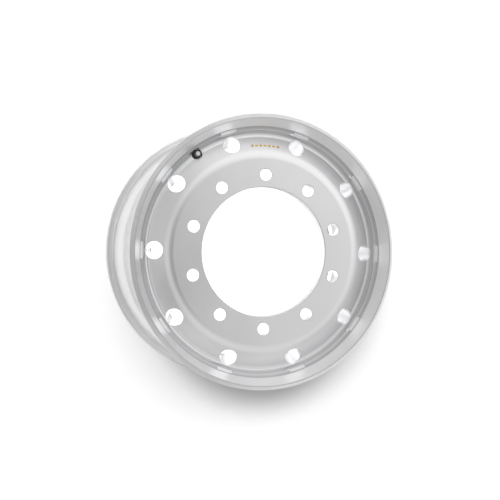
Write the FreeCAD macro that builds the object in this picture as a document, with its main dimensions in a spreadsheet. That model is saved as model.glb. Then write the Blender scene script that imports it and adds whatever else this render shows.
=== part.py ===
import FreeCAD, Part
import math
import os

import Sketcher
from FreeCAD import Placement, Rotation, Vector

# Alloy truck wheel, 22.5 x 11.75 inch, forged in one piece, with its tubeless valve.
# The wheel stands face up on its inboard flange. +Z is the wheel's axis, towards the outboard
# face, and the origin is the centre of the mounting face that meets the hub. Millimetres.

doc = FreeCAD.newDocument("truck_wheel")
sheet = doc.addObject("Spreadsheet::Sheet", "Sizes")

SIZES = [
    # Rim, fifteen-degree drop centre
    ("rim_width", 298.45, "between the two flanges, 11.75 in"),
    ("seat_diameter", 571.5, "bead seat at the flange, 22.5 in"),
    ("seat_angle", 15, "taper of both bead seats, degrees"),
    ("seat_length", 33, "along the axis, each bead seat"),
    ("flange_height", 12.7, "radial, above the bead seat"),
    ("flange_thickness", 13.75, "along the axis"),
    ("front_stand", 42.975, "front lip, outboard of the mounting face; makes the inset 120"),
    ("well_depth", 38.25, "radial, below the bead seat's diameter"),
    ("well_offset", 85, "front lip to the start of the well"),
    ("well_length", 46, "flat bottom of the well"),
    ("well_run_out", 40, "slope from the well up to the barrel"),
    ("well_wall", 9.5, "radial"),
    ("barrel_depth", 17.5, "radial, below the bead seat's diameter"),
    ("barrel_wall", 7.5, "radial"),
    ("rear_slope", 22, "along the axis, barrel up to the rear seat"),
    ("seat_wall", 10, "radial, under the rear seat"),
    # Front and back lips
    ("lip_width", 10.5, "radial, front lip from its tip to its sharp inner corner"),
    ("back_lip_width", 20, "radial, back lip from its tip to its inner corner"),
    ("lip_bevel", 8.5, "radial and axial, outboard corner of the front lip"),
    ("lip_edge_round", 2.5, "both edges of that bevel"),
    ("back_tip_round", 8, "inboard corner of the back lip"),
    ("lip_back_round", 4, "tyre-side corner of each tip"),
    ("lip_crown_round", 1.5, "inner corner of the front lip"),
    ("back_crown_round", 12, "inner corner of the back lip"),
    ("bead_root_round", 8, "between bead seat and flange"),
    ("seat_end_round", 12, "where a bead seat turns down"),
    ("well_round", 12, "both corners at the bottom of the well"),
    ("barrel_round", 20, "where the barrel starts and ends"),
    # Front face between the lip and the disc
    ("ledge_setback", 12.25, "radial, bead seat to the outer side of the ledge below the lip"),
    ("ledge_width", 6.5, "radial"),
    ("ledge_rise", 4.5, "along the axis, over the ledge's width"),
    ("ledge_drop", 9, "disc face down to the ledge's inner corner"),
    ("wall_draft", 6.5, "radial, from the ledge down to the channel"),
    ("ledge_foot_round", 3, "outer side of the ledge"),
    ("ledge_nose_round", 2.5, "inner corner of the ledge"),
    ("channel_round", 10, "bottom of the channel"),
    ("cone_run", 47.5, "radial, disc edge to the channel"),
    ("cone_angle", 28, "slope of the ring that holds the hand holes, degrees"),
    ("cone_web", 18, "thickness of that ring, square to its slope"),
    ("disc_edge_round", 40, "where the disc turns down into the cone"),
    ("cone_back_round", 16, "behind the cone, where it meets the well"),
    ("mount_edge_round", 8, "outer edge of the mounting face"),
    # Disc
    ("disc_thickness", 22, "at the studs"),
    ("bore_diameter", 281, "spigot bore"),
    ("bore_lead_in", 2.5, "chamfer on the hub side of the bore"),
    ("bore_chamfer", 1.5, "chamfer on the outboard side of the bore"),
    ("stud_circle", 335, "pitch circle of the studs"),
    ("stud_hole", 26.75, "diameter"),
    ("stud_chamfer", 1, "both mouths of each stud hole"),
    ("stud_count", 10, "evenly spaced"),
    ("stud_angle", 18, "first stud hole, degrees"),
    # Hand holes, one between every two studs, drilled square to the cone
    ("hand_hole", 38, "diameter"),
    ("hand_hole_setback", 19.6, "radial, channel corner to the middle of a hole"),
    ("hand_hole_chamfer", 0.75, "outboard mouth"),
    ("hand_hole_rise", 8, "along a hole's axis, its cut carried on through the channel's round"),
    ("hand_hole_count", 10, "evenly spaced"),
    ("relief_angle", 7.8, "sector of the ledge cut away at each hand hole, degrees"),
    ("relief_top", 1.5, "along the axis, from the ledge's outer corner up the lip's face"),
    ("relief_foot_out", 2.1, "radial, channel corner to the foot of the relief"),
    ("relief_foot_up", 7.3, "along the axis, channel corner to the foot of the relief"),
    ("cut_through", 40, "how far a cut runs past the metal"),
    # Valve, clamped through the web between two hand holes
    ("valve_angle", 126, "degrees"),
    ("valve_setback", 4.5, "radial, channel corner to the valve's axis"),
    ("valve_seat_drop", 28, "disc face down to the nut's seat"),
    ("valve_web", 11, "between the nut's seat and the seal's seat"),
    ("valve_hole", 9.7, "diameter"),
    ("nut_pocket", 24, "diameter of the seat cut for nut and washer"),
    ("seal_pocket", 20, "diameter of the seat cut for the stem's flange"),
    ("washer_diameter", 21, "outside"),
    ("washer_thickness", 1.5, ""),
    ("nut_flats", 19, "across the flats"),
    ("nut_height", 7.5, ""),
    ("nut_corner_cut", 30, "chamfer of the nut's corners, degrees"),
    ("thread_play", 0.08, "radial, between mating threads"),
    ("loose_play", 0.15, "radial, where a piece slides over the stem"),
    ("stem_diameter", 9.3, "threaded shank"),
    ("stem_flange", 18, "diameter on the tyre side"),
    ("stem_flange_thickness", 3.5, ""),
    ("stem_neck", 7.7, "diameter of the thread that takes the cap"),
    ("stem_neck_length", 7, ""),
    ("stem_shank_above_nut", 1.5, "shank past the nut"),
    ("stem_bore", 3.4, "air way"),
    ("core_diameter", 5.2, "thread of the valve core"),
    ("core_length", 7, "threaded head"),
    ("core_tail", 2.2, "diameter below the gasket"),
    ("core_tail_length", 9, ""),
    ("core_pin", 1.5, "diameter of the pin's end"),
    ("core_pin_length", 1.2, "past the head"),
    ("core_recess", 1.5, "stem's mouth down to the head"),
    ("gasket_length", 2, "along the core"),
    ("seal_thickness", 2, "rubber ring under the stem's flange"),
    ("cap_diameter", 9.6, ""),
    ("cap_top", 1.5, "closed end"),
    ("cap_seal_thickness", 1, ""),
    ("cap_grip_count", 16, "flutes round the cap"),
    ("cap_grip_radius", 0.55, "of each flute"),
    ("cap_grip_top", 2.5, "cap's top down to the end of the flutes"),
    ("edge_break", 0.5, "small chamfers on the valve's pieces"),
]
for row, (alias, number, remark) in enumerate(SIZES, start=1):
    sheet.set(f"A{row}", str(number))
    sheet.setAlias(f"A{row}", alias)
    sheet.set(f"B{row}", remark)
doc.recompute()


def number(expression):
    """What an expression on the sheet comes to."""
    result = sheet.evalExpression(str(expression))
    return float(getattr(result, "Value", result))


# Places that several sub-parts or cuts share, each written once as an expression on the sheet.
SEAT_R = "(Sizes.seat_diameter / 2)"
TIP_R = f"({SEAT_R} + Sizes.flange_height)"
TAPER = "tan(Sizes.seat_angle)"
SEAT_END_R = f"({SEAT_R} - Sizes.seat_length * {TAPER})"
WELL_R = f"({SEAT_R} - Sizes.well_depth)"
BARREL_R = f"({SEAT_R} - Sizes.barrel_depth)"
LEDGE_OUT_R = f"({SEAT_R} - Sizes.ledge_setback)"
LEDGE_IN_R = f"({LEDGE_OUT_R} - Sizes.ledge_width)"
CHANNEL_R = f"({LEDGE_IN_R} - Sizes.wall_draft)"
DISC_EDGE_R = f"({CHANNEL_R} - Sizes.cone_run)"
BORE_R = "(Sizes.bore_diameter / 2)"

FACE_Z = "Sizes.disc_thickness"
FRONT_Z = "Sizes.front_stand"
BACK_Z = f"({FRONT_Z} - Sizes.rim_width - 2 * Sizes.flange_thickness)"
FRONT_BEAD_Z = f"({FRONT_Z} - Sizes.flange_thickness)"
BACK_BEAD_Z = f"({BACK_Z} + Sizes.flange_thickness)"
WELL_FRONT_Z = f"({FRONT_Z} - Sizes.well_offset)"
WELL_BACK_Z = f"({WELL_FRONT_Z} - Sizes.well_length)"
BARREL_FRONT_Z = f"({WELL_BACK_Z} - Sizes.well_run_out)"
REAR_SEAT_Z = f"({BACK_BEAD_Z} + Sizes.seat_length)"
BARREL_BACK_Z = f"({REAR_SEAT_Z} + Sizes.rear_slope)"
LEDGE_Z = f"({FACE_Z} - Sizes.ledge_drop)"
LEDGE_OUT_Z = f"({LEDGE_Z} + Sizes.ledge_rise)"

SLOPE = "tan(Sizes.cone_angle)"
CHANNEL_Z = f"({FACE_Z} - Sizes.cone_run * {SLOPE})"
WEB_ON_AXIS = "(Sizes.cone_web / cos(Sizes.cone_angle))"
WELL_IN_R = f"({WELL_R} - Sizes.well_wall)"
CONE_BACK_Z = f"({FACE_Z} - {WEB_ON_AXIS} - ({WELL_IN_R} - {DISC_EDGE_R}) * {SLOPE})"
MOUNT_EDGE_R = f"({DISC_EDGE_R} + ({FACE_Z} - {WEB_ON_AXIS}) / {SLOPE})"

HAND_R = f"({CHANNEL_R} - Sizes.hand_hole_setback)"
HAND_Z = f"({FACE_Z} - ({HAND_R} - {DISC_EDGE_R}) * {SLOPE})"
VALVE_R = f"({CHANNEL_R} - Sizes.valve_setback)"
NUT_SEAT_Z = f"({FACE_Z} - Sizes.valve_seat_drop)"


def origin_part(body, role):
    return next(part for part in body.Origin.OriginFeatures if part.Role == role)


def new_body(label):
    body = doc.addObject("PartDesign::Body", label)
    body.Label = label
    return body


def new_sketch(body, name, plane="XZ_Plane"):
    sketch = body.newObject("Sketcher::SketchObject", name)
    sketch.AttachmentSupport = [(origin_part(body, plane), "")]
    sketch.MapMode = "FlatFace"
    return sketch


def bind(sketch, constraint, name, expression):
    """Add a constraint to a sketch and drive it by an expression."""
    index = sketch.addConstraint(constraint)
    sketch.renameConstraint(index, name)
    sketch.setExpression(f"Constraints.{name}", expression)


def pin(sketch, geometry, end, name, across, up):
    """Hold one end of a line at a place measured from the sketch's origin."""
    for kind, letter, expression in (("DistanceX", "x", across), ("DistanceY", "y", up)):
        here = Sketcher.Constraint(kind, -1, 1, geometry, end, number(expression))
        bind(sketch, here, f"{name}_{letter}", expression)


def outline(sketch, corners):
    """A closed outline through named corners, each given by two expressions."""
    places = [Vector(number(across), number(up), 0) for _, across, up in corners]
    lines = []
    for start, end in zip(places, places[1:] + places[:1]):
        lines.append(sketch.addGeometry(Part.LineSegment(start, end), False))
    for line, following in zip(lines, lines[1:] + lines[:1]):
        sketch.addConstraint(Sketcher.Constraint("Coincident", line, 2, following, 1))
    for line, (name, across, up) in zip(lines, corners):
        pin(sketch, line, 1, name, across, up)


def axis_line(sketch, across, up, lean="0"):
    """A construction line to turn a profile about. It leans outward by so many degrees."""
    length = "10"
    far_across = f"({across}) + {length} * sin({lean})"
    far_up = f"({up}) + {length} * cos({lean})"
    start = Vector(number(across), number(up), 0)
    end = Vector(number(far_across), number(far_up), 0)
    line = sketch.addGeometry(Part.LineSegment(start, end), True)
    pin(sketch, line, 1, "axis_start", across, up)
    pin(sketch, line, 2, "axis_end", far_across, far_up)


def turn_plane(sketch, angle):
    """Turn a sketch's upright plane about the body's Z axis."""
    sketch.AttachmentOffset = Placement(Vector(0, 0, 0), Rotation(Vector(0, 1, 0), number(angle)))
    sketch.setExpression("AttachmentOffset.Rotation.Angle", angle)


def turned(body, name, corners, seam="0"):
    """A solid turned about the body's own Z axis from an outline of radius and height.

    The seam is the angle at which the turned surfaces start and close.
    """
    sketch = new_sketch(body, f"{name}_profile")
    turn_plane(sketch, seam)
    outline(sketch, corners)
    solid = body.newObject("PartDesign::Revolution", name)
    solid.Profile = sketch
    solid.ReferenceAxis = (sketch, ["V_Axis"])
    solid.Angle = 360
    sketch.Visibility = False
    doc.recompute()
    return solid


def checked(body, feature, before, sign):
    """Make a feature the tip and make sure that it took metal away (-1) or added some (1)."""
    body.Tip = feature
    doc.recompute()
    if (feature.Shape.Volume - before) * sign <= 0:
        raise RuntimeError(f"{feature.Label} changed nothing")
    return feature


def turned_cut(body, name, sketch, axis="Axis0", sweep="360"):
    """A cut turned about a line of its sketch, through a full turn or a part of one."""
    before = body.Shape.Volume
    groove = body.newObject("PartDesign::Groove", name)
    groove.Profile = sketch
    groove.ReferenceAxis = (sketch, [axis])
    groove.setExpression("Angle", sweep)
    groove.Refine = False
    return checked(body, groove, before, -1)


def repeated(body, name, features, count):
    """Repeat cuts evenly about the body's Z axis."""
    before = body.Shape.Volume
    pattern = body.newObject("PartDesign::PolarPattern", name)
    pattern.Originals = features
    pattern.Axis = (origin_part(body, "Z_Axis"), [""])
    pattern.Angle = 360
    pattern.setExpression("Occurrences", count)
    pattern.Refine = False
    return checked(body, pattern, before, -1)


def ring_edges(shape, places):
    """Names of the full circles about Z that lie at these (radius, height) places."""
    names = []
    for index, edge in enumerate(shape.Edges, start=1):
        curve = edge.Curve
        if not isinstance(curve, Part.Circle) or abs(curve.Axis.z) < 0.999:
            continue
        if math.hypot(curve.Center.x, curve.Center.y) > 0.001:
            continue
        for across, up in places:
            if abs(curve.Radius - number(across)) < 0.001 and abs(curve.Center.z - number(up)) < 0.001:
                names.append(f"Edge{index}")
    return names


def dressed(body, kind, name, size, places):
    """Round or chamfer the rings at these places by one size of the sheet."""
    base = body.Tip
    edges = ring_edges(base.Shape, places)
    if len(edges) < len(places):
        raise RuntimeError(f"{name} found {len(edges)} edges of {len(places)}")
    feature = body.newObject(f"PartDesign::{kind}", name)
    feature.Base = (base, edges)
    feature.setExpression("Radius" if kind == "Fillet" else "Size", size)
    body.Tip = feature
    doc.recompute()
    return feature


def wheel():
    """The forging: rim, disc and hub face in one turned solid, then drilled."""
    body = new_body("wheel")
    places = {
        "bore_face": (BORE_R, FACE_Z),
        "disc_edge": (DISC_EDGE_R, FACE_Z),
        "channel": (CHANNEL_R, CHANNEL_Z),
        "ledge_nose": (LEDGE_IN_R, LEDGE_Z),
        "ledge_foot": (LEDGE_OUT_R, LEDGE_OUT_Z),
        "lip_crown": (f"{TIP_R} - Sizes.lip_width", FRONT_Z),
        "lip_bevel_top": (f"{TIP_R} - Sizes.lip_bevel", FRONT_Z),
        "lip_bevel_foot": (TIP_R, f"{FRONT_Z} - Sizes.lip_bevel"),
        "lip_back": (TIP_R, FRONT_BEAD_Z),
        "bead_root": (SEAT_R, FRONT_BEAD_Z),
        "seat_end": (SEAT_END_R, f"{FRONT_BEAD_Z} - Sizes.seat_length"),
        "well_front": (WELL_R, WELL_FRONT_Z),
        "well_back": (WELL_R, WELL_BACK_Z),
        "barrel_front": (BARREL_R, BARREL_FRONT_Z),
        "barrel_back": (BARREL_R, BARREL_BACK_Z),
        "rear_seat_end": (SEAT_END_R, REAR_SEAT_Z),
        "rear_bead_root": (SEAT_R, BACK_BEAD_Z),
        "rear_lip_front": (TIP_R, BACK_BEAD_Z),
        "rear_lip_tip": (TIP_R, BACK_Z),
        "rear_crown": (f"{TIP_R} - Sizes.back_lip_width", BACK_Z),
        "rear_seat_inside": (f"{SEAT_END_R} - Sizes.seat_wall", REAR_SEAT_Z),
        "barrel_back_inside": (f"{BARREL_R} - Sizes.barrel_wall", BARREL_BACK_Z),
        "barrel_front_inside": (f"{BARREL_R} - Sizes.barrel_wall", BARREL_FRONT_Z),
        "well_back_inside": (WELL_IN_R, WELL_BACK_Z),
        "cone_back": (WELL_IN_R, CONE_BACK_Z),
        "mount_edge": (MOUNT_EDGE_R, "0"),
        "bore_hub": (BORE_R, "0"),
    }
    corners = [(name, across, up) for name, (across, up) in places.items()]
    turned(body, "forging", corners, seam="Sizes.stud_angle / 2")
    rounds = {
        "disc_edge_round": ["disc_edge"],
        "channel_round": ["channel"],
        "ledge_nose_round": ["ledge_nose"],
        "ledge_foot_round": ["ledge_foot"],
        "lip_crown_round": ["lip_crown"],
        "back_crown_round": ["rear_crown"],
        "lip_edge_round": ["lip_bevel_top", "lip_bevel_foot"],
        "back_tip_round": ["rear_lip_tip"],
        "lip_back_round": ["lip_back", "rear_lip_front"],
        "bead_root_round": ["bead_root", "rear_bead_root"],
        "seat_end_round": ["seat_end", "rear_seat_end"],
        "well_round": ["well_front", "well_back", "well_back_inside"],
        "barrel_round": ["barrel_front", "barrel_back", "barrel_front_inside", "barrel_back_inside"],
        "cone_back_round": ["cone_back"],
        "mount_edge_round": ["mount_edge"],
    }
    for size, names in rounds.items():
        dressed(body, "Fillet", size, f"Sizes.{size}", [places[name] for name in names])
    dressed(body, "Chamfer", "bore_lead_in", "Sizes.bore_lead_in", [places["bore_hub"]])
    dressed(body, "Chamfer", "bore_chamfer", "Sizes.bore_chamfer", [places["bore_face"]])
    stud_holes(body)
    valve_seat(body)
    hand_holes(body)
    reliefs(body)
    return body


def stud_holes(body):
    """One stud hole with a small chamfer at each mouth, repeated round the pitch circle."""
    sketch = new_sketch(body, "stud_hole_profile")
    turn_plane(sketch, "Sizes.stud_angle")
    axis = "Sizes.stud_circle / 2"
    wall = f"{axis} + Sizes.stud_hole / 2"
    mouth = f"{wall} + Sizes.stud_chamfer"
    outline(sketch, [
        ("low", axis, "-Sizes.cut_through"),
        ("low_wide", mouth, "-Sizes.cut_through"),
        ("hub_mouth", mouth, "0"),
        ("hub_wall", wall, "Sizes.stud_chamfer"),
        ("face_wall", wall, f"{FACE_Z} - Sizes.stud_chamfer"),
        ("face_mouth", mouth, FACE_Z),
        ("high_wide", mouth, f"{FACE_Z} + Sizes.cut_through"),
        ("high", axis, f"{FACE_Z} + Sizes.cut_through"),
    ])
    axis_line(sketch, axis, "0")
    hole = turned_cut(body, "stud_hole", sketch)
    return repeated(body, "stud_holes", [hole], "Sizes.stud_count")


def leaning(along, out):
    """Place measured from the hole's mouth, along its axis and square to it."""
    lean = "Sizes.cone_angle"
    across = f"{HAND_R} + ({along}) * sin({lean}) + ({out}) * cos({lean})"
    up = f"{HAND_Z} + ({along}) * cos({lean}) - ({out}) * sin({lean})"
    return across, up


def hand_holes(body):
    """A hand hole drilled square to the cone, repeated round the wheel."""
    drill = new_sketch(body, "hand_hole_profile")
    radius = "Sizes.hand_hole / 2"
    wide = f"{radius} + Sizes.hand_hole_chamfer"
    outline(drill, [
        ("tail", *leaning("-Sizes.cut_through", "0")),
        ("tail_wall", *leaning("-Sizes.cut_through", radius)),
        ("neck", *leaning("-Sizes.hand_hole_chamfer", radius)),
        ("mouth", *leaning("0", wide)),
        ("top_wall", *leaning("Sizes.hand_hole_rise", wide)),
        ("top", *leaning("Sizes.hand_hole_rise", "0")),
    ])
    axis_line(drill, HAND_R, HAND_Z, "Sizes.cone_angle")
    hole = turned_cut(body, "hand_hole", drill)
    return repeated(body, "hand_holes", [hole], "Sizes.hand_hole_count")


def reliefs(body):
    """Cut the ledge away at each hand hole, so that the lip's face runs down to the channel."""
    sketch = new_sketch(body, "relief_profile")
    turn_plane(sketch, "-Sizes.relief_angle / 2")
    flare = f"(({TIP_R} - Sizes.lip_width - {LEDGE_OUT_R}) / ({FRONT_Z} - {LEDGE_OUT_Z}))"
    top_z = f"{LEDGE_OUT_Z} + Sizes.relief_top"
    outline(sketch, [
        ("foot", f"{CHANNEL_R} + Sizes.relief_foot_out", f"{CHANNEL_Z} + Sizes.relief_foot_up"),
        ("top", f"{LEDGE_OUT_R} + Sizes.relief_top * {flare}", top_z),
        ("air", CHANNEL_R, top_z),
    ])
    relief = turned_cut(body, "relief", sketch, "V_Axis", "Sizes.relief_angle")
    return repeated(body, "reliefs", [relief], "Sizes.hand_hole_count")


def valve_seat(body):
    """The stepped hole for the valve: nut's seat in front, plain hole, seal's seat behind."""
    sketch = new_sketch(body, "valve_hole_profile")
    turn_plane(sketch, "Sizes.valve_angle")
    nut_wall = f"{VALVE_R} + Sizes.nut_pocket / 2"
    seal_wall = f"{VALVE_R} + Sizes.seal_pocket / 2"
    hole_wall = f"{VALVE_R} + Sizes.valve_hole / 2"
    seal_z = f"{NUT_SEAT_Z} - Sizes.valve_web"
    outline(sketch, [
        ("low", VALVE_R, f"{seal_z} - Sizes.cut_through"),
        ("low_wall", seal_wall, f"{seal_z} - Sizes.cut_through"),
        ("seal_seat", seal_wall, seal_z),
        ("hole_back", hole_wall, seal_z),
        ("hole_front", hole_wall, NUT_SEAT_Z),
        ("nut_seat", nut_wall, NUT_SEAT_Z),
        ("high_wall", nut_wall, f"{NUT_SEAT_Z} + Sizes.cut_through"),
        ("high", VALVE_R, f"{NUT_SEAT_Z} + Sizes.cut_through"),
    ])
    axis_line(sketch, VALVE_R, NUT_SEAT_Z)
    return turned_cut(body, "valve_hole_cut", sketch)


# Heights in the valve, measured up its own axis from the nut's seat.
WASHER_TOP = "Sizes.washer_thickness"
NUT_TOP = f"({WASHER_TOP} + Sizes.nut_height)"
SHANK_TOP = f"({NUT_TOP} + Sizes.stem_shank_above_nut)"
STEM_TOP = f"({SHANK_TOP} + Sizes.stem_neck_length)"
SEAL_BOTTOM = "(-Sizes.valve_web - Sizes.seal_thickness)"
FLANGE_BOTTOM = f"({SEAL_BOTTOM} - Sizes.stem_flange_thickness)"
SHANK_R = "(Sizes.stem_diameter / 2)"
NECK_R = "(Sizes.stem_neck / 2)"
CORE_R = "(Sizes.core_diameter / 2)"
BORE_OF_STEM_R = "(Sizes.stem_bore / 2)"
CORE_TOP = f"({STEM_TOP} - Sizes.core_recess)"
CORE_BOTTOM = f"({CORE_TOP} - Sizes.core_length)"
GASKET_BOTTOM = f"({CORE_BOTTOM} - Sizes.gasket_length)"
PIN_TOP = f"({CORE_TOP} + Sizes.core_pin_length)"
CAP_SEAL_TOP = f"({STEM_TOP} + Sizes.cap_seal_thickness)"
CAP_TOP = f"({CAP_SEAL_TOP} + Sizes.cap_top)"


def in_valve(body):
    """Put a body that is drawn about its own Z axis on the valve's axis."""
    body.setExpression("Placement.Base.x", f"{VALVE_R} * cos(Sizes.valve_angle)")
    body.setExpression("Placement.Base.y", f"{VALVE_R} * sin(Sizes.valve_angle)")
    body.setExpression("Placement.Base.z", NUT_SEAT_Z)
    doc.recompute()
    return body


def ring(label, inner, outer, bottom, top):
    """A plain flat ring, or a disc where its inner radius is zero."""
    body = new_body(label)
    turned(body, f"{label}_ring", [
        ("inner_bottom", inner, bottom),
        ("outer_bottom", outer, bottom),
        ("outer_top", outer, top),
        ("inner_top", inner, top),
    ])
    return in_valve(body)


def valve_stem():
    """Brass stem: flange, threaded shank, thinner neck for the cap, stepped bore for the core."""
    body = new_body("valve_stem")
    socket = f"({CORE_R} + Sizes.thread_play)"
    turned(body, "stem_body", [
        ("bore_bottom", BORE_OF_STEM_R, FLANGE_BOTTOM),
        ("flange_bottom", "Sizes.stem_flange / 2", FLANGE_BOTTOM),
        ("flange_top", "Sizes.stem_flange / 2", SEAL_BOTTOM),
        ("shank_bottom", SHANK_R, SEAL_BOTTOM),
        ("shank_top", SHANK_R, f"{SHANK_TOP} - Sizes.edge_break"),
        ("neck_bottom", NECK_R, SHANK_TOP),
        ("neck_top", NECK_R, f"{STEM_TOP} - Sizes.edge_break"),
        ("mouth_outer", f"{NECK_R} - Sizes.edge_break", STEM_TOP),
        ("mouth_inner", socket, STEM_TOP),
        ("socket_bottom", socket, GASKET_BOTTOM),
        ("bore_top", BORE_OF_STEM_R, GASKET_BOTTOM),
    ])
    return in_valve(body)


def valve_core():
    """The core: threaded head, pin and tail, crimped together as one unit."""
    body = new_body("valve_core")
    pin_r = "Sizes.core_pin / 2"
    tail_r = "Sizes.core_tail / 2"
    turned(body, "core_body", [
        ("tail_bottom", "0", f"{GASKET_BOTTOM} - Sizes.core_tail_length"),
        ("tail_side", tail_r, f"{GASKET_BOTTOM} - Sizes.core_tail_length"),
        ("tail_top", tail_r, CORE_BOTTOM),
        ("head_bottom", CORE_R, CORE_BOTTOM),
        ("head_top", CORE_R, CORE_TOP),
        ("head_inner", pin_r, CORE_TOP),
        ("pin_side", pin_r, PIN_TOP),
        ("pin_top", "0", PIN_TOP),
    ])
    return in_valve(body)


def valve_nut():
    """A hexagon nut with chamfered corners, bored for the shank."""
    body = new_body("valve_nut")
    corner_r = "(Sizes.nut_flats / 2 / cos(30))"
    sketch = new_sketch(body, "hexagon", "XY_Plane")
    sketch.AttachmentOffset = Placement(Vector(0, 0, number(WASHER_TOP)), Rotation())
    sketch.setExpression("AttachmentOffset.Base.z", WASHER_TOP)
    corners = []
    for turn in range(0, 360, 60):
        corners.append((f"corner_{turn}", f"{corner_r} * cos({turn})", f"{corner_r} * sin({turn})"))
    outline(sketch, corners)
    block = body.newObject("PartDesign::Pad", "nut_block")
    block.Profile = sketch
    block.setExpression("Length", "Sizes.nut_height")
    body.Tip = block
    doc.recompute()

    bore = new_sketch(body, "nut_bore_profile")
    wall = f"{SHANK_R} + Sizes.thread_play"
    outline(bore, [
        ("low", "0", "-Sizes.cut_through"),
        ("low_wall", wall, "-Sizes.cut_through"),
        ("high_wall", wall, f"{NUT_TOP} + Sizes.cut_through"),
        ("high", "0", f"{NUT_TOP} + Sizes.cut_through"),
    ])
    turned_cut(body, "nut_bore", bore, "V_Axis")

    cut = new_sketch(body, "nut_corner_profile")
    flat_r = "(Sizes.nut_flats / 2 - Sizes.edge_break)"
    outside = f"({corner_r} + Sizes.edge_break)"
    drop = f"({outside} - {flat_r}) * tan(Sizes.nut_corner_cut)"
    outline(cut, [
        ("inner", flat_r, NUT_TOP),
        ("outer", outside, f"{NUT_TOP} - {drop}"),
        ("above", outside, f"{NUT_TOP} + Sizes.edge_break"),
        ("above_inner", flat_r, f"{NUT_TOP} + Sizes.edge_break"),
    ])
    turned_cut(body, "nut_corners", cut, "V_Axis")
    return in_valve(body)


def valve_cap():
    """The cap: a closed sleeve screwed over the neck, fluted for the fingers."""
    body = new_body("valve_cap")
    inside = f"{NECK_R} + Sizes.thread_play"
    outside = "Sizes.cap_diameter / 2"
    turned(body, "cap_body", [
        ("top_middle", "0", CAP_TOP),
        ("inside_middle", "0", CAP_SEAL_TOP),
        ("inside_top", inside, CAP_SEAL_TOP),
        ("inside_bottom", inside, SHANK_TOP),
        ("rim_bottom", outside, SHANK_TOP),
        ("side_top", outside, f"{CAP_TOP} - Sizes.edge_break"),
        ("top_edge", f"{outside} - Sizes.edge_break", CAP_TOP),
    ])
    flute = new_sketch(body, "cap_flute_profile", "XY_Plane")
    flute.AttachmentOffset = Placement(Vector(0, 0, number(SHANK_TOP)), Rotation())
    flute.setExpression("AttachmentOffset.Base.z", SHANK_TOP)
    centre = Vector(number(outside), 0, 0)
    radius = number("Sizes.cap_grip_radius")
    circle = flute.addGeometry(Part.Circle(centre, Vector(0, 0, 1), radius), False)
    pin(flute, circle, 3, "flute_centre", f"{outside} + Sizes.cap_grip_radius / 2", "0")
    bind(flute, Sketcher.Constraint("Radius", circle, radius), "flute_radius", "Sizes.cap_grip_radius")
    before = body.Shape.Volume
    groove = body.newObject("PartDesign::Pocket", "cap_flute")
    groove.Profile = flute
    groove.Reversed = True
    groove.setExpression("Length", f"{CAP_TOP} - {SHANK_TOP} - Sizes.cap_grip_top")
    checked(body, groove, before, -1)
    repeated(body, "cap_flutes", [groove], "Sizes.cap_grip_count")
    return in_valve(body)


def all_parts():
    loose_r = f"{SHANK_R} + Sizes.loose_play"
    tail_r = "Sizes.core_tail / 2"
    cap_inside = f"{NECK_R} + Sizes.thread_play"
    return [
        wheel(),
        valve_stem(),
        ring("stem_seal", loose_r, "Sizes.stem_flange / 2", SEAL_BOTTOM, "-Sizes.valve_web"),
        ring("nut_washer", loose_r, "Sizes.washer_diameter / 2", "0", WASHER_TOP),
        valve_nut(),
        valve_core(),
        ring("core_gasket", tail_r, CORE_R, GASKET_BOTTOM, CORE_BOTTOM),
        valve_cap(),
        ring("cap_seal", "0", cap_inside, STEM_TOP, CAP_SEAL_TOP),
    ]


parts = all_parts()
doc.recompute()
for item in doc.Objects:
    if "Invalid" in item.State or "Error" in item.State:
        raise RuntimeError(f"{item.Label} failed: {item.State}")
os.makedirs("parts", exist_ok=True)
for body in parts:
    shape = body.Shape
    if shape.isNull() or not shape.isValid() or len(shape.Solids) != 1:
        raise RuntimeError(f"{body.Label} is not one valid solid")
    shape.exportStep(f"parts/{body.Label}.step")
    print(f"{body.Label}: volume {shape.Volume / 1000:.2f} cm3")
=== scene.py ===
from math import cos, pi, radians, sin

import bmesh
import bpy
from mathutils import Matrix, Vector


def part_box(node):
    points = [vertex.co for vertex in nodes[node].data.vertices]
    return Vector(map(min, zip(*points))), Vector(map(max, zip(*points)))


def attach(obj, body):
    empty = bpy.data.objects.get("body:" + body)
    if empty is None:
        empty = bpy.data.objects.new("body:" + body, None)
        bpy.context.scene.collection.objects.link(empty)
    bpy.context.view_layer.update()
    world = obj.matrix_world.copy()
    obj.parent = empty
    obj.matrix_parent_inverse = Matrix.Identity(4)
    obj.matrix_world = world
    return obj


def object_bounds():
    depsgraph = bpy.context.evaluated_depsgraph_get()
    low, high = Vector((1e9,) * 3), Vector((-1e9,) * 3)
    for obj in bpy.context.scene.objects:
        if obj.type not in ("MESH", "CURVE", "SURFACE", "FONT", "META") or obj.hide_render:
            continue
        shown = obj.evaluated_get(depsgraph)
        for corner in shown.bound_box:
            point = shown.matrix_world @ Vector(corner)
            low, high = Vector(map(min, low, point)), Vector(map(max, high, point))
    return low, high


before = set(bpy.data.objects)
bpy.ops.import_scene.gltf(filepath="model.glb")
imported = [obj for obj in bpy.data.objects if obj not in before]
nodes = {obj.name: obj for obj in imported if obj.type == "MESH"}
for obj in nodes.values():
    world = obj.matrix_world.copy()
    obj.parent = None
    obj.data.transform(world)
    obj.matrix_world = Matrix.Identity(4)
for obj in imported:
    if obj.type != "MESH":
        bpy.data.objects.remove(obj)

cad_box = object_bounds()


# Wheel: one forging of aluminium alloy, turned all over on a lathe and brushed, then drilled. Its
# look is bare metal: fine circular tool lines, brushing that follows them and clouds of hand
# wiping. Its colour is painted lighter on the lip and in the reliefs, as painted highlights, and
# darker on the ledge, bevel, crown and corner, as painted shade.

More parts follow.
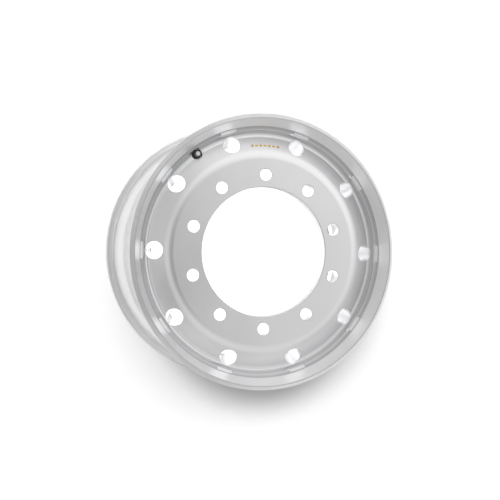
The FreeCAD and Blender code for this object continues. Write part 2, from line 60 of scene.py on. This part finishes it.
class Value:
    """A socket in a node tree. Arithmetic on it adds Math nodes."""

    def __init__(self, graph, socket):
        self.graph = graph
        self.socket = socket

    def __add__(self, other):
        return self.graph.maths("ADD", self, other)

    def __sub__(self, other):
        return self.graph.maths("SUBTRACT", self, other)

    def __rsub__(self, other):
        return self.graph.maths("SUBTRACT", other, self)

    def __mul__(self, other):
        return self.graph.maths("MULTIPLY", self, other)

    def __truediv__(self, other):
        return self.graph.maths("DIVIDE", self, other)

    def __pow__(self, other):
        return self.graph.maths("POWER", self, other)

    __radd__ = __add__
    __rmul__ = __mul__


class Graph:
    """A node tree, built from Python expressions."""

    def __init__(self, tree):
        self.tree = tree

    def node(self, kind, settings=None, inputs=None, output=0):
        """Add a node: its settings first, then its sockets' values or links."""
        made = self.tree.nodes.new(kind)
        for setting, value in (settings or {}).items():
            setattr(made, setting, value)
        for socket, value in (inputs or {}).items():
            if isinstance(value, Value):
                self.tree.links.new(value.socket, made.inputs[socket])
            else:
                made.inputs[socket].default_value = value
        return Value(self, made.outputs[output])

    def maths(self, operation, *values):
        return self.node("ShaderNodeMath", {"operation": operation}, dict(enumerate(values)))


class Finish(Graph):
    """A procedural material. Its constants go straight on the Principled shader's sockets."""

    def __init__(self, name, **constants):
        self.material = bpy.data.materials.new(name)
        self.material.use_nodes = True
        super().__init__(self.material.node_tree)
        self.shader = self.tree.nodes["Principled BSDF"]
        for socket, value in constants.items():
            self.shader.inputs[socket.replace("_", " ")].default_value = value

    def feed(self, socket, value):
        self.tree.links.new(value.socket, self.shader.inputs[socket])

    def place(self):
        return self.node("ShaderNodeTexCoord", output="Object")

    def parts(self, vector):
        """The three numbers of a vector."""
        inputs = {"Vector": vector}
        return [self.node("ShaderNodeSeparateXYZ", inputs=inputs, output=axis) for axis in "XYZ"]

    def noise(self, vector, scale, detail=2.0):
        inputs = {"Vector": vector, "Scale": scale, "Detail": detail}
        return self.node("ShaderNodeTexNoise", inputs=inputs, output="Fac")

    def climb(self, value, low, high, bottom=0.0, top=1.0):
        """From bottom to top, while the value goes from low to high."""
        ends = {"From Min": low, "From Max": high, "To Min": bottom, "To Max": top}
        return self.node("ShaderNodeMapRange", inputs={"Value": value, **ends})

    def within(self, value, low, high, blur):
        """1 between two values, falling to 0 over the blur beyond each."""
        return self.climb(value, low - blur, low) * (1 - self.climb(value, high, high + blur))

    def between(self, dark, light, factor):
        """A colour between two. The colours of a Mix node have to be called by number."""
        first_colour, second_colour, mixed_colour = 6, 7, 2
        inputs = {0: factor, first_colour: (*dark, 1), second_colour: (*light, 1)}
        return self.node("ShaderNodeMix", {"data_type": "RGBA"}, inputs, mixed_colour)

    def vary(self, pattern, dark, light, roughness):
        """Colour and roughness that follow a pattern, each from its first end to its second."""
        smooth, rough = roughness
        self.feed("Base Color", self.between(dark, light, pattern))
        self.feed("Roughness", smooth + pattern * (rough - smooth))

    def bump(self, height, distance):
        inputs = {"Height": height, "Distance": distance}
        self.feed("Normal", self.node("ShaderNodeBump", inputs=inputs))

    def put_on(self, piece):
        piece.data.materials.clear()
        piece.data.materials.append(self.material)
        for face in piece.data.polygons:
            face.material_index = 0


tool_lines_per_metre = 900.0
patches_round_wheel = 3.0
darkest_metal = (0.40, 0.40, 0.41)
lightest_metal = (0.95, 0.95, 0.955)
plain_wiping = 0.66
cloud_wiping = 0.20
plain_roughness = 0.24
cloud_roughness = 0.08
line_roughness = 0.05

alloy = Finish("turned_alloy", Metallic=1.0, Anisotropic=0.3, Anisotropic_Rotation=0.25)
place = alloy.place()
across, up_page, height = alloy.parts(place)
radius = (across * across + up_page * up_page) ** 0.5
track = alloy.node("ShaderNodeCombineXYZ", inputs={
    "X": across / radius * patches_round_wheel,
    "Y": up_page / radius * patches_round_wheel,
    "Z": radius * tool_lines_per_metre,
})
lines = alloy.node(
    "ShaderNodeTexNoise",
    {"noise_dimensions": "4D"},
    {"Vector": track, "W": height * tool_lines_per_metre, "Scale": 1.0, "Detail": 3.0},
    "Fac",
)
clouds = alloy.noise(place, scale=7.0, detail=4.0)


def band(radii, heights, blurs):
    """1 on the turned surface between two radii and two heights, with a blur past each pair."""
    radius_blur, height_blur = blurs
    return alloy.within(radius, *radii, radius_blur) * alloy.within(height, *heights, height_blur)


def slope(foot, top, reach, blurs):
    """1 on a straight slope of the profile, from one radius and height to another."""
    radius_blur, height_blur = blurs
    rise = (top[1] - foot[1]) / (top[0] - foot[0])
    off_slope = height - ((radius - foot[0]) * rise + foot[1])
    on_slope = alloy.within(off_slope, -reach, reach, height_blur)
    return alloy.within(radius, foot[0], top[0], radius_blur) * on_slope


# Where light and shade are painted into the alloy's colour: painted highlights on the reliefs and
# lip, painted shade on the corner, bevel, crown and ledge, the ledge's shade darker towards its
# outer edge.
ledge_shade_outwards = alloy.climb(radius, low=0.2660, high=0.2730, bottom=0.4, top=1.0)
ledge = slope((0.2670, 0.0130), (0.2735, 0.0175), reach=0.0004, blurs=(0.0004, 0.0003))
relief = slope((0.2626, 0.0040), (0.2743, 0.0190), reach=0.0003, blurs=(0.0003, 0.0002))
corner = band(radii=(0.2598, 0.2650), heights=(0.0000, 0.0085), blurs=(0.0030, 0.0015))
lip = band(radii=(0.2742, 0.2865), heights=(0.0176, 0.0415), blurs=(0.0008, 0.0005))
bevel = band(radii=(0.2890, 0.2990), heights=(0.0330, 0.0440), blurs=(0.0006, 0.0008))
crown = band(radii=(0.2880, 0.2893), heights=(0.0405, 0.0440), blurs=(0.0003, 0.0005))
# The colour's factor: random clouds of wiping, plus the painted highlights and painted shade added
# below.
tone_and_painted_light = plain_wiping + clouds * cloud_wiping
roughness = plain_roughness + clouds * cloud_roughness + lines * line_roughness
for surface, painted_lighter, rougher in [
    # the surface, how much lighter its colour is painted (below zero: painted shade), how much
    # rougher it is left
    (relief, 0.30, 0.20),
    (lip, 0.20, 0.12),
    (corner, -0.55, 0.00),
    (bevel, -0.22, 0.00),
    (crown, -0.40, 0.00),
    (ledge * ledge_shade_outwards, -0.72, 0.15),
]:
    tone_and_painted_light = tone_and_painted_light + surface * painted_lighter
    roughness = roughness + surface * rougher
alloy.feed("Base Color", alloy.between(darkest_metal, lightest_metal, tone_and_painted_light))
alloy.feed("Roughness", roughness)
alloy.bump(lines, distance=0.00006)
alloy.put_on(nodes["wheel"])


# Gold print on the ring between two hand holes, where such wheels are marked: a row of plain
# lozenges and bars in a thin foil, pressed onto the brushed metal.

print_angle = radians(90)
print_radius = 0.2315
print_marks = 7
print_step = 0.0098
lozenge_side = 0.0052
bar_size = (0.0068, 0.0034)
foil_height = 0.00006
foil_segments = 4
half_a_unit = 0.5
clear_of_wheel = 1.0
gold = Finish("gold_foil", Metallic=1.0)
gold_grain = gold.noise(gold.place(), scale=900.0, detail=3.0)
gold.vary(gold_grain, dark=(0.62, 0.36, 0.06), light=(0.83, 0.56, 0.16), roughness=(0.32, 0.52))


def laid_on_wheel(point):
    """A place on the flat print, moved to the ring below it."""
    turn = print_angle - point.x / print_radius
    reach = print_radius + point.y
    above = Vector((cos(turn) * reach, sin(turn) * reach, clear_of_wheel))
    _, spot, _, _ = nodes["wheel"].ray_cast(above, Vector((0, 0, -1)))
    return spot + Vector((0, 0, foil_height))


def made_piece(name, mesh, finish):
    """Make a piece from a bmesh and put its finish on."""
    data = bpy.data.meshes.new(name)
    mesh.to_mesh(data)
    mesh.free()
    piece = bpy.data.objects.new(name, data)
    bpy.context.scene.collection.objects.link(piece)
    finish.put_on(piece)
    return piece


print_mesh = bmesh.new()
for number in range(print_marks):
    offset = Matrix.Translation(((number - print_marks // 2) * print_step, 0, 0))
    if number % 2:
        shape = Matrix.Diagonal((*bar_size, 1, 1))
    else:
        square = Matrix.Diagonal((lozenge_side, lozenge_side, 1, 1))
        shape = Matrix.Rotation(pi / 4, 4, "Z") @ square
    bmesh.ops.create_grid(
        print_mesh,
        x_segments=foil_segments,
        y_segments=foil_segments,
        size=half_a_unit,
        matrix=offset @ shape,
    )
for point in print_mesh.verts:
    point.co = laid_on_wheel(point.co)
gold_print = made_piece("gold_print", print_mesh, gold)
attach(gold_print, "root")


# Valve stem and cap: turned brass with a nickel plate. The stem's flange sits behind the rim on
# its rubber ring, and its neck takes the screwed cap, so only the cap and one turn of thread show.

nickel = Finish("nickel_plate", Metallic=1.0)
nickel_place = nickel.place()
nickel_cloud = nickel.noise(nickel_place, scale=400.0, detail=3.0)
nickel.vary(
    nickel_cloud, dark=(0.76, 0.74, 0.70), light=(0.90, 0.88, 0.84), roughness=(0.16, 0.30))
nickel.bump(nickel.noise(nickel_place, scale=2500.0), distance=0.00001)
for name in ("valve_stem", "valve_cap"):
    nickel.put_on(nodes[name])


# Thread on the stem between the nut and the cap: a single ridge that climbs round the shank, cut
# in the brass before it is plated. It starts inside the nut and stops just short of the cap.

shank_diameter = 0.0093
thread_pitch = 0.00095
thread_depth = 0.00035
thread_steps = 32
ridge_sunk = thread_depth * 0.6
ridge_reach = thread_depth * 1.6
ridge_middle = thread_pitch * 0.45
ridge_height = thread_pitch * 0.9
start_in_nut = thread_pitch * 0.6
bare_turns = 0.2
_, nut_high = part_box("valve_nut")
cap_low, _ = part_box("valve_cap")
stem_low, stem_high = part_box("valve_stem")
valve_axis = (stem_low + stem_high) / 2
foot_radius = shank_diameter / 2 - ridge_sunk
thread_turns = (cap_low.z - nut_high.z) / thread_pitch - bare_turns
thread_mesh = bmesh.new()
foot = Vector((valve_axis.x + foot_radius, valve_axis.y, nut_high.z - start_in_nut))
ridge = [
    thread_mesh.verts.new(foot),
    thread_mesh.verts.new(foot + Vector((ridge_reach, 0, ridge_middle))),
    thread_mesh.verts.new(foot + Vector((0, 0, ridge_height))),
]
ridge_face = thread_mesh.faces.new(ridge)
bmesh.ops.spin(
    thread_mesh,
    geom=[ridge_face],
    cent=valve_axis,
    axis=(0, 0, 1),
    dvec=(0, 0, thread_pitch / thread_steps),
    angle=2 * pi * thread_turns,
    steps=int(thread_steps * thread_turns),
)
bmesh.ops.recalc_face_normals(thread_mesh, faces=thread_mesh.faces)
stem_thread = made_piece("stem_thread", thread_mesh, nickel)
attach(stem_thread, "root")


# Valve nut: a steel hexagon with a black coating, slightly glossy and finely pitted. Screwed down
# on the washer, it pulls the stem and its rubber ring against the rim.

black = Finish("black_coating", Metallic=0.0)
pits = black.noise(black.place(), scale=1200.0, detail=3.0)
black.vary(pits, dark=(0.006, 0.006, 0.007), light=(0.022, 0.022, 0.024), roughness=(0.28, 0.46))
black.bump(pits, distance=0.00003)
black.put_on(nodes["valve_nut"])


# Washer under the nut: pressed from steel sheet and zinc plated, so it is dull and faintly
# clouded. The nut holds it on the rim.

zinc = Finish("zinc_plate", Metallic=1.0)
zinc_cloud = zinc.noise(zinc.place(), scale=600.0, detail=4.0)
zinc.vary(zinc_cloud, dark=(0.50, 0.50, 0.52), light=(0.68, 0.68, 0.70), roughness=(0.30, 0.48))
zinc.put_on(nodes["nut_washer"])


# Valve core: a small bought-in unit of turned brass, crimped shut and screwed into the stem,
# where the cap hides it.

brass = Finish("bare_brass", Metallic=1.0)
brass_cloud = brass.noise(brass.place(), scale=800.0, detail=3.0)
brass.vary(brass_cloud, dark=(0.60, 0.43, 0.18), light=(0.76, 0.58, 0.29), roughness=(0.28, 0.43))
brass.put_on(nodes["valve_core"])


# Rubber: the ring under the stem's flange, the core's gasket and the cap's disc, moulded in
# black rubber with a dry bloom and held by the metal that presses on them.

rubber = Finish("moulded_rubber", Metallic=0.0)
bloom = rubber.noise(rubber.place(), scale=500.0, detail=4.0)
rubber.vary(bloom, dark=(0.012, 0.012, 0.013), light=(0.035, 0.035, 0.037), roughness=(0.62, 0.82))
rubber.bump(bloom, distance=0.00004)
for name in ("stem_seal", "core_gasket", "cap_seal"):
    rubber.put_on(nodes[name])


# Studio: a pale floor that the wheel lies on, with three thin sheets inside the rim: the metal
# reflects the glowing one and its dim patch, and the camera alone sees the white one through the
# bore and holes: painted light, a white glow over the floor where it lies in shade. Four suns give
# the floor its shadow, and a grey room lights the metal.

floor_size = 40.0
floor_drop = 0.0002
floor_level = cad_box[0].z - floor_drop


def stage_piece(name, mesh, finish):
    """Make a piece of the studio."""
    piece = made_piece(name, mesh, finish)
    return piece


paper = Finish("white_paper", Roughness=0.9)
paper_grain = paper.noise(paper.place(), scale=3.0)
paper_shade = paper.between(
    dark=(0.50, 0.50, 0.50), light=(0.52, 0.52, 0.52), factor=paper_grain)
paper.feed("Base Color", paper_shade)
floor_mesh = bmesh.new()
floor_place = Matrix.Translation((0, 0, floor_level))
bmesh.ops.create_grid(
    floor_mesh, x_segments=1, y_segments=1, size=floor_size / 2, matrix=floor_place)
floor = stage_piece("floor", floor_mesh, paper)

sheet_corners = 96
for name, to_right, sheet_radius, lift, glow, reflected in [
    # name, its middle's place to the right, radius, height off the floor, glow, seen in the metal
    ("glow_sheet", 0.0, 0.276, 0.00005, 1.6, True),
    ("dim_patch", 0.13, 0.13, 0.00010, 0.5, True),
    # Painted light: a white glow laid over the floor inside the rim, where it lies in shade, seen
    # by the camera but not by glossy or diffuse rays.
    ("painted_white_glow", 0.0, 0.276, 0.00015, 1.1, False),
]:
    lit_paper = Finish(name, Roughness=0.9, Emission_Color=(1, 1, 1, 1), Emission_Strength=glow)
    sheet_mesh = bmesh.new()
    sheet_place = Matrix.Translation((to_right, 0, floor_level + lift))
    bmesh.ops.create_circle(
        sheet_mesh,
        cap_ends=True,
        segments=sheet_corners,
        radius=sheet_radius,
        matrix=sheet_place,
    )
    sheet = stage_piece(name, sheet_mesh, lit_paper)
    sheet.visible_glossy = reflected
    sheet.visible_diffuse = reflected

lit_by_suns = bpy.data.collections.new("lit_by_suns")
lit_by_suns.objects.link(floor)
for name, sun_from, strength, wide in [
    # name, the direction that it shines from, strength, degrees across
    ("near_sun", Vector((-0.34, 0.27, 1.0)), 2.45, 14),
    ("low_sun", Vector((-0.34, 0.38, 1.0)), 0.65, 18),
    ("right_sun", Vector((-0.10, 0.37, 1.0)), 0.85, 14),
    ("left_sun", Vector((-0.54, 0.37, 1.0)), 0.65, 14),
]:
    sun = bpy.data.lights.new(name, "SUN")
    sun.energy = strength
    sun.angle = radians(wide)
    lamp = bpy.data.objects.new(name, sun)
    lamp.matrix_world = sun_from.to_track_quat("Z", "Y").to_matrix().to_4x4()
    bpy.context.scene.collection.objects.link(lamp)
    lamp.light_linking.receiver_collection = lit_by_suns

room_grey = 0.58
room_lights = [
    # what it is, degrees to the right and up the page, degrees full and faded, strength
    ("big window", 28, 40, 18, 52, 0.55),
    ("bright wall", 46, -3, 8, 30, 0.20),
    ("left pane", -26, 0, 5, 20, 0.24),
    ("left post", -75, 0, 2, 11, -0.28),
    ("left glow", -93, 0, 5, 13, 0.32),
    ("dark gap", 3, 0, 2, 20, -0.52),
    ("low table", 8, -38, 12, 42, 0.26),
    ("dark corner", 95, -20, 10, 35, -0.14),
    ("dim corner", -60, -30, 10, 30, -0.18),
    ("dark foot", 0, -72, 5, 30, -0.20),
    ("dark top", 0, 72, 5, 22, -0.22),
    ("top glow", 0, 92, 5, 16, 0.40),
    ("low glow", -75, -48, 4, 16, 0.18),
    ("high glow", -75, 48, 4, 16, 0.18),
]
world = bpy.data.worlds.new("studio")
world.use_nodes = True
room = Graph(world.node_tree)
towards = room.node("ShaderNodeTexCoord", output="Generated")
shade = room_grey
for _, to_right, upward, full, faded, strength in room_lights:
    middle = Vector((0, 0, 1))
    middle.rotate(Matrix.Rotation(radians(-upward), 3, "X"))
    middle.rotate(Matrix.Rotation(radians(to_right), 3, "Y"))
    facing = room.node(
        "ShaderNodeVectorMath", {"operation": "DOT_PRODUCT"}, {0: towards, 1: middle}, "Value")
    light = room.node("ShaderNodeMapRange", {"interpolation_type": "SMOOTHSTEP"}, {
        "Value": facing,
        "From Min": cos(radians(faded)),
        "From Max": cos(radians(full)),
        "To Max": strength,
    })
    shade = light + shade
background = world.node_tree.nodes["Background"]
world.node_tree.links.new(room.maths("MAXIMUM", shade, 0.0).socket, background.inputs["Strength"])
background.inputs["Color"].default_value = (1, 1, 1, 1)
bpy.context.scene.world = world


# Camera: it looks at the outboard face from the valve's side of the axis, with the tyre's side
# of the rim showing on the left, and the wheel turned a little on its axis.

look_across = radians(17.62)
look_down = radians(0.29)
camera_roll = radians(0.14)
wheel_turn = radians(-1.15)
eye = Vector((0.0385, -0.0042, -1.980))
focal_pixels = 922.2
frame_pixels = 500
lean = (Matrix.Rotation(camera_roll, 3, "Z") @ Matrix.Rotation(look_down, 3, "X")
        @ Matrix.Rotation(look_across, 3, "Y"))
unturn = Matrix.Rotation(-wheel_turn, 3, "Z")
stand = unturn @ lean.transposed()
camera_data = bpy.data.cameras.new("camera")
camera_data.sensor_width = 36.0
camera_data.lens = focal_pixels / frame_pixels * camera_data.sensor_width
camera = bpy.data.objects.new("camera", camera_data)
front_lip = Vector((0, 0, cad_box[1].z))
camera.matrix_world = Matrix.Translation(stand @ -eye + front_lip) @ stand.to_4x4()
bpy.context.scene.collection.objects.link(camera)
bpy.context.scene.camera = camera
bpy.context.scene.view_settings.view_transform = "Standard"

bpy.context.view_layer.update()
